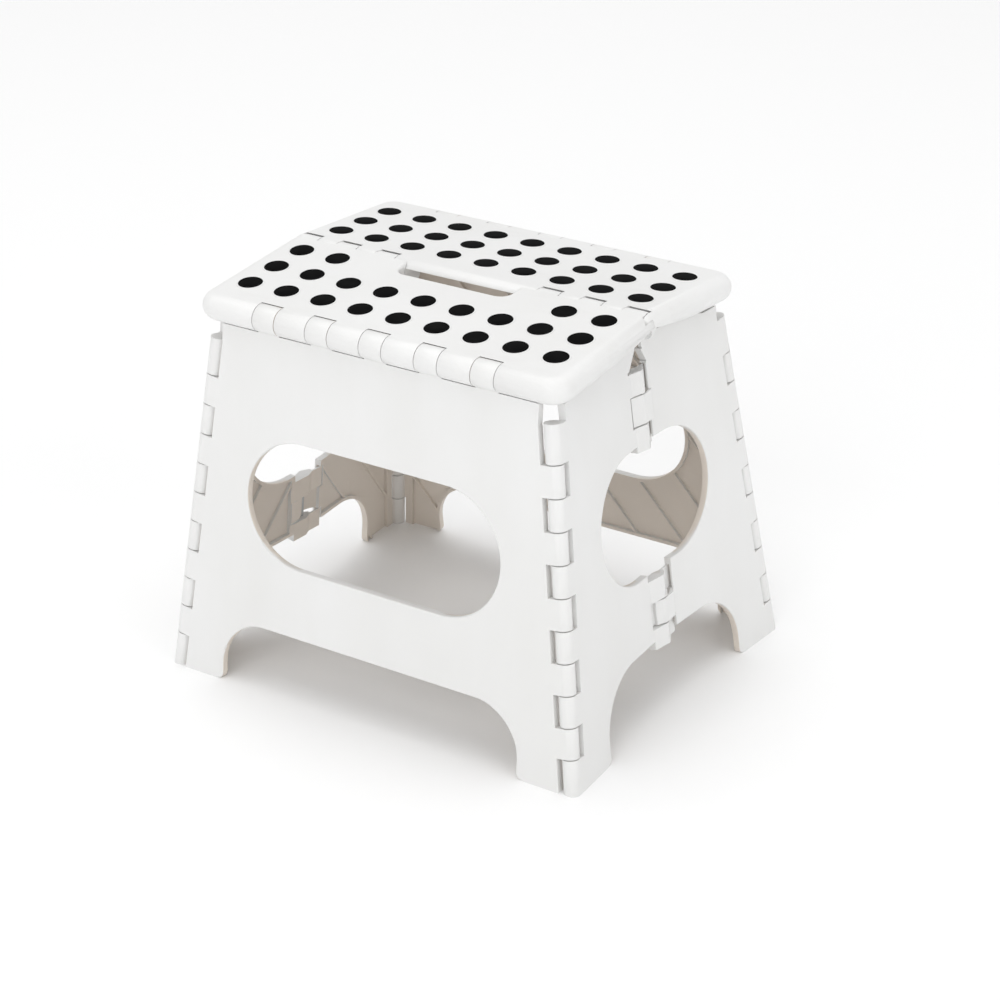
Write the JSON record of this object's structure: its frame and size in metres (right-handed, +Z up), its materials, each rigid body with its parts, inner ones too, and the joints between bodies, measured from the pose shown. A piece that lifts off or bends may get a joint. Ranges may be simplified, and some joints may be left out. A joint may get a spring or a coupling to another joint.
{
  "type": "folding step stool",
  "caption": "Folding plastic step stool with a crowned two-part top, round grip pads, a finger slot, and walls with oval and arched openings on knuckle hinges.",
  "frame": {"origin": "middle of the footprint, on the floor, with the stool standing open", "axes": "+X along the step's length to the right end, +Y from the front wall to the rear wall, +Z up"},
  "size_m": [0.3232, 0.2588, 0.271],
  "materials": {
    "white_plastic": "satin moulded white",
    "black_rubber": "matte black",
    "steel": "drawn wire"
  },
  "bodies": {
    "rear_wall": {"rear_panel": "white_plastic", "rear_right_corner_pin": "steel", "rear_left_corner_pin": "steel"},
    "top_rear": {"top_rear_half": "white_plastic", "rear_grip_pads": "black_rubber", "right_fold_pin": "steel", "left_fold_pin": "steel", "rear_edge_pin": "steel"},
    "top_front": {"top_front_half": "white_plastic", "front_grip_pads": "black_rubber", "front_edge_pin": "steel"},
    "front_wall": {"front_panel": "white_plastic", "front_right_corner_pin": "steel", "front_left_corner_pin": "steel"},
    "right_front_leaf": {"right_end_front_leaf": "white_plastic", "right_end_lower_pin": "steel", "right_end_upper_pin": "steel"},
    "left_front_leaf": {"left_end_front_leaf": "white_plastic", "left_end_lower_pin": "steel", "left_end_upper_pin": "steel"},
    "right_rear_leaf": {"right_end_rear_leaf": "white_plastic"},
    "left_rear_leaf": {"left_end_rear_leaf": "white_plastic"}
  },
  "joints": [
    {"name": "fold_hinge", "type": "hinge", "parent": "top_rear", "child": "top_front", "pos_m": [0, 0, 0.262], "axis": [1, 0, 0], "range_deg": [0, 156.34]},
    {"name": "rear_edge_hinge", "type": "hinge", "parent": "top_rear", "child": "rear_wall", "pos_m": [0, 0.0973, 0.2548], "axis": [1, 0, 0], "range_deg": [0, 71.83]},
    {"name": "front_edge_hinge", "type": "hinge", "parent": "top_front", "child": "front_wall", "pos_m": [0, -0.0973, 0.2548], "axis": [-1, 0, 0], "range_deg": [0, 71.83]},
    {"name": "front_right_corner_hinge", "type": "hinge", "parent": "front_wall", "child": "right_front_leaf", "pos_m": [0.15596, -0.12376, 0], "axis": [-0.123, 0.1147, 0.9857], "range_deg": [0, 84.69]},
    {"name": "front_left_corner_hinge", "type": "hinge", "parent": "front_wall", "child": "left_front_leaf", "pos_m": [-0.15596, -0.12376, 0], "axis": [-0.123, -0.1147, -0.9857], "range_deg": [0, 84.69]},
    {"name": "rear_right_corner_hinge", "type": "hinge", "parent": "rear_wall", "child": "right_rear_leaf", "pos_m": [0.15596, 0.12376, 0], "axis": [0.123, 0.1147, -0.9857], "range_deg": [0, 84.69]},
    {"name": "rear_left_corner_hinge", "type": "hinge", "parent": "rear_wall", "child": "left_rear_leaf", "pos_m": [-0.15596, 0.12376, 0], "axis": [0.123, -0.1147, 0.9857], "range_deg": [0, 84.69]}
  ],
  "couplings": [
    {"joint": "rear_edge_hinge", "follows": "fold_hinge", "ratio": 0.45939},
    {"joint": "front_edge_hinge", "follows": "fold_hinge", "ratio": 0.45939},
    {"joint": "front_right_corner_hinge", "follows": "fold_hinge", "ratio": 0.54166},
    {"joint": "front_left_corner_hinge", "follows": "fold_hinge", "ratio": 0.54166},
    {"joint": "rear_right_corner_hinge", "follows": "fold_hinge", "ratio": 0.54166},
    {"joint": "rear_left_corner_hinge", "follows": "fold_hinge", "ratio": 0.54166}
  ]
}
